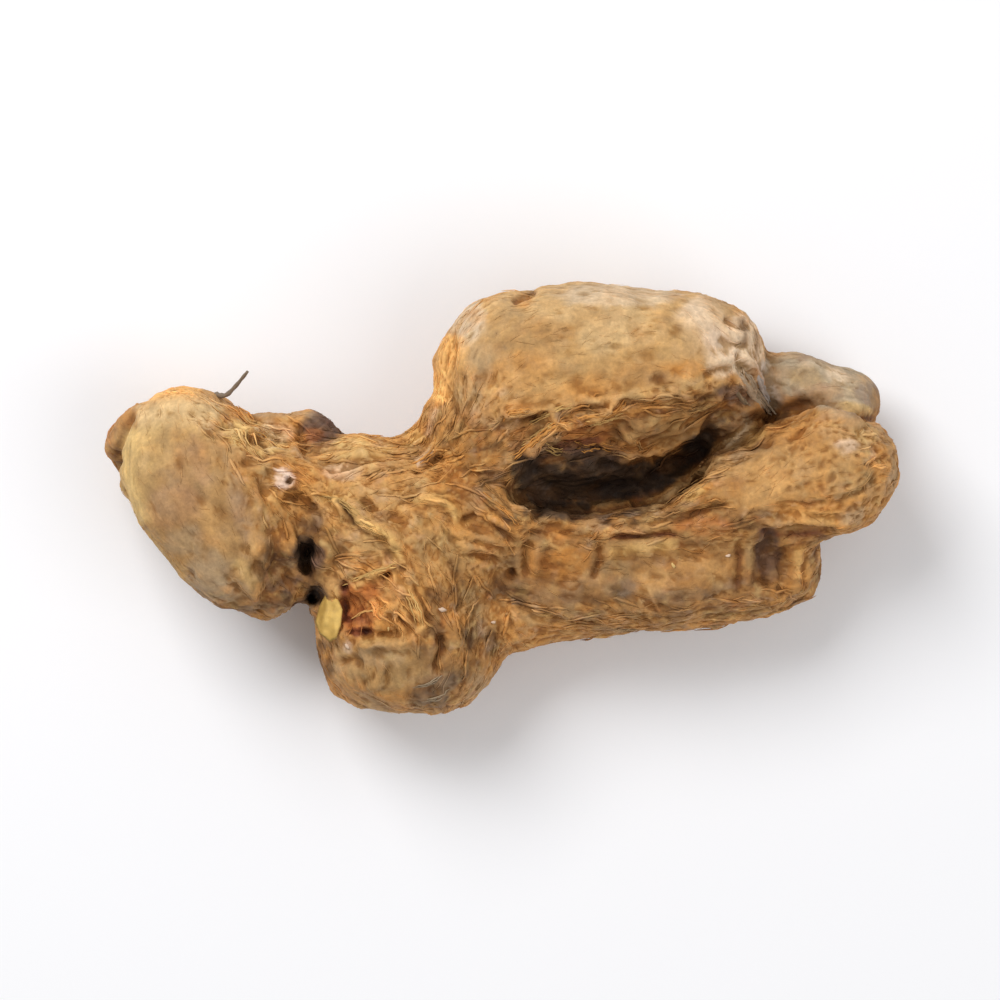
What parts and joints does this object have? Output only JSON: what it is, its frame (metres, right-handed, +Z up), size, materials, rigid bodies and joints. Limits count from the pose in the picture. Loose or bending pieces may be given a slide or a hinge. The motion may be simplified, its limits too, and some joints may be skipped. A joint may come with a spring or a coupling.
{
  "type": "ginger root",
  "caption": "Knobbly dried ginger root of rounded lobes with a deep cleft, lying on its broad back; a whole spice rhizome to rest on a surface.",
  "frame": {"origin": "middle of the bounding box at its lowest level, on the surface that the root lies on", "axes": "+X along the root from the broad paddle lobe to the tip of the arm, +Y across it towards the large bulb, +Z up, away from the surface"},
  "size_m": [0.095, 0.0518, 0.0276],
  "materials": {
    "ginger_skin": "matte"
  },
  "bodies": {
    "root": {"ginger_root": "ginger_skin"}
  },
  "joints": []
}
